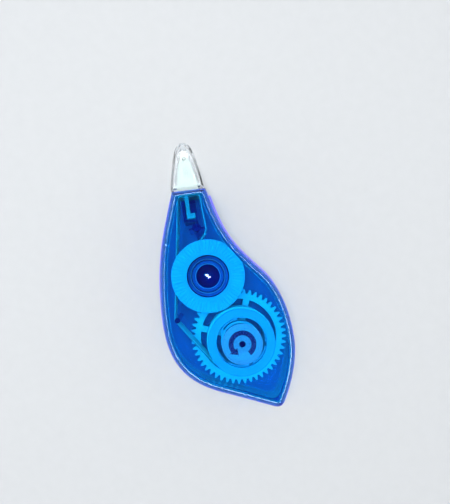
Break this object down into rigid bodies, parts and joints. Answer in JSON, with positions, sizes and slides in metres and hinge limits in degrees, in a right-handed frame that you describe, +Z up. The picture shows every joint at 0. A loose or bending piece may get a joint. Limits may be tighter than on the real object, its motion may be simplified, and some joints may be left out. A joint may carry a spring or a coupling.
{
  "type": "correction tape dispenser",
  "caption": "Flat pear-shaped correction tape roller: clear coloured casing, geared supply and take-up reels, slip clutch, wedge tip and slide-off clear cap.",
  "frame": {"origin": "middle of the object's box, on the face that it lies on", "axes": "+Z up through the thickness and along every reel's axis, +Y out of the neck towards the tip, +X to the right of the tip"},
  "size_m": [0.0388, 0.0802, 0.0146],
  "materials": {
    "casing_blue": "transparent saturated blue styrene, polished",
    "reel_white": "natural white moulded plastic, satin",
    "tip_white": "off-white moulded acetal, slightly waxy",
    "tape_white": "chalky white correction film",
    "release_film": "thin translucent release film",
    "pin_grey": "grey-white pin end",
    "cap_clear": "colourless clear styrene, polished"
  },
  "bodies": {
    "casing": {"lower_shell": "casing_blue", "upper_shell": "casing_blue", "tip_body": "tip_white", "tip_pin": "pin_grey", "fresh_tape_run": "tape_white", "used_film_run": "release_film"},
    "supply_drive": {"supply_gear": "reel_white", "clutch_ring": "reel_white"},
    "supply_core": {"supply_spool": "reel_white", "tape_roll": "tape_white"},
    "take_up": {"take_up_gear": "reel_white", "take_up_reel": "reel_white", "used_film_roll": "release_film"},
    "cap": {"cap": "cap_clear"}
  },
  "joints": [
    {"name": "supply_gear_spin", "type": "hinge", "parent": "casing", "child": "supply_drive", "pos_m": [0.00328, -0.01972, 0.0022], "axis": [0, 0, 1], "continuous": true},
    {"name": "spool_slip", "type": "hinge", "parent": "supply_drive", "child": "supply_core", "pos_m": [0.00328, -0.01972, 0.0069], "axis": [0, 0, 1], "continuous": true},
    {"name": "take_up_spin", "type": "hinge", "parent": "casing", "child": "take_up", "pos_m": [-0.00381, 0.00037, 0.0022], "axis": [0, 0, 1], "continuous": true},
    {"name": "cap_slide", "type": "slide", "parent": "casing", "child": "cap", "axis": [0, 1, 0], "range_m": [0, 0.02]}
  ],
  "couplings": [
    {"joint": "take_up_spin", "follows": "supply_gear_spin", "ratio": -2.087}
  ]
}
